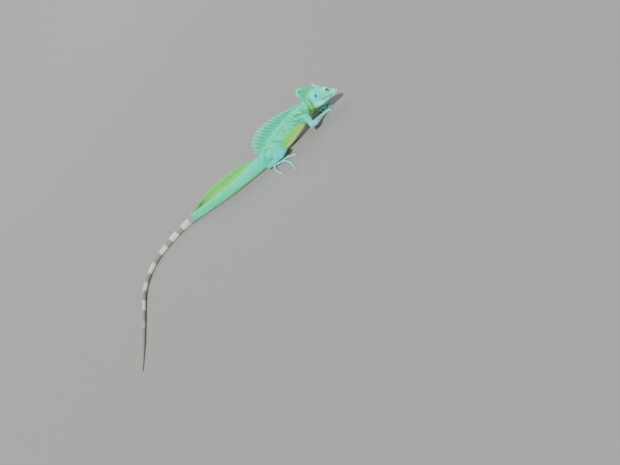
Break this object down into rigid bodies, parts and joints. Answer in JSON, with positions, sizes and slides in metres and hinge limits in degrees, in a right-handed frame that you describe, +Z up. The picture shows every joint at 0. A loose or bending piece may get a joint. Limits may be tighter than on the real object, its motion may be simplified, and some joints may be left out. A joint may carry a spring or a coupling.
{
  "type": "green basilisk lizard, still model",
  "caption": "Adult male green basilisk, life size, lying alert on its belly with head and back crests raised and its long banded tail curving round behind.",
  "frame": {"origin": "on the floor, on the flat of the belly under the middle of the back", "axes": "+X from the hips towards the snout, +Y to the lizard's left, +Z up from the floor"},
  "size_m": [0.5475, 0.3108, 0.0725],
  "materials": {
    "body_skin": "fine scaled skin, satin, turquoise green with a yellow-green belly edge",
    "head_skin": "fine scaled skin, satin, bluish cyan green",
    "fin_skin": "thin ribbed skin, satin, mint green with pale ray tips",
    "tail_skin": "keeled scales, matte, green banded into pale and brown-grey",
    "foot_skin": "small scales, matte, pale bluish grey with dark claws",
    "eye": "wet gloss, golden iris round a dark pupil"
  },
  "bodies": {
    "root": {"torso": "body_skin", "neck": "body_skin", "head": "head_skin", "head_crest": "head_skin", "brow_crest": "head_skin", "eye_left": "eye", "eye_right": "eye", "dorsal_crest": "fin_skin", "tail_crest": "fin_skin", "tail_1": "tail_skin", "tail_2": "tail_skin", "tail_3": "tail_skin", "tail_4": "tail_skin", "tail_5": "tail_skin", "upper_arm_left": "body_skin", "forearm_left": "body_skin", "hand_left": "foot_skin", "thigh_left": "body_skin", "shin_left": "body_skin", "foot_left": "foot_skin", "upper_arm_right": "body_skin", "forearm_right": "body_skin", "hand_right": "foot_skin", "thigh_right": "body_skin", "shin_right": "body_skin", "foot_right": "foot_skin"}
  },
  "joints": []
}
